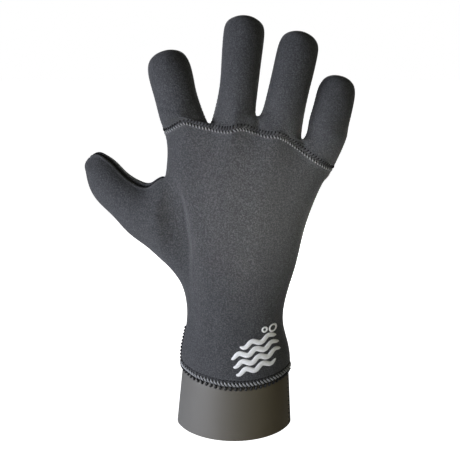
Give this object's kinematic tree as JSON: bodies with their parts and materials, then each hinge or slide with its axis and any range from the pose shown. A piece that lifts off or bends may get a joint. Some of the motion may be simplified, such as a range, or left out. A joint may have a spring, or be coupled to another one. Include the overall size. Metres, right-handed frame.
{
  "type": "diving glove",
  "caption": "Five-finger neoprene diving glove for the right hand: knit-faced back, finger and palm panels sewn together, with a smooth rubber cuff.",
  "frame": {"origin": "middle of the cuff's open mouth, in the plane of its rim, where the wrist goes in", "axes": "+Z from the wrist towards the fingertips; -Y is the back of the hand and +Y the palm; -X is the thumb's side"},
  "size_m": [0.1878, 0.0657, 0.2923],
  "materials": {
    "knit_neoprene": "matte charcoal nylon knit bonded to neoprene foam",
    "smooth_skin": "bare smooth-skin neoprene, dark grey-brown with a soft gloss",
    "seam_thread": "dark polyester thread, matte",
    "white_print": "raised white print, matte"
  },
  "bodies": {
    "root": {"back_panel": "knit_neoprene", "finger_back_panel": "knit_neoprene", "palm_panel": "knit_neoprene", "finger_palm_panel": "knit_neoprene", "thumb_palm_panel": "knit_neoprene", "cuff": "smooth_skin"}
  },
  "joints": []
}
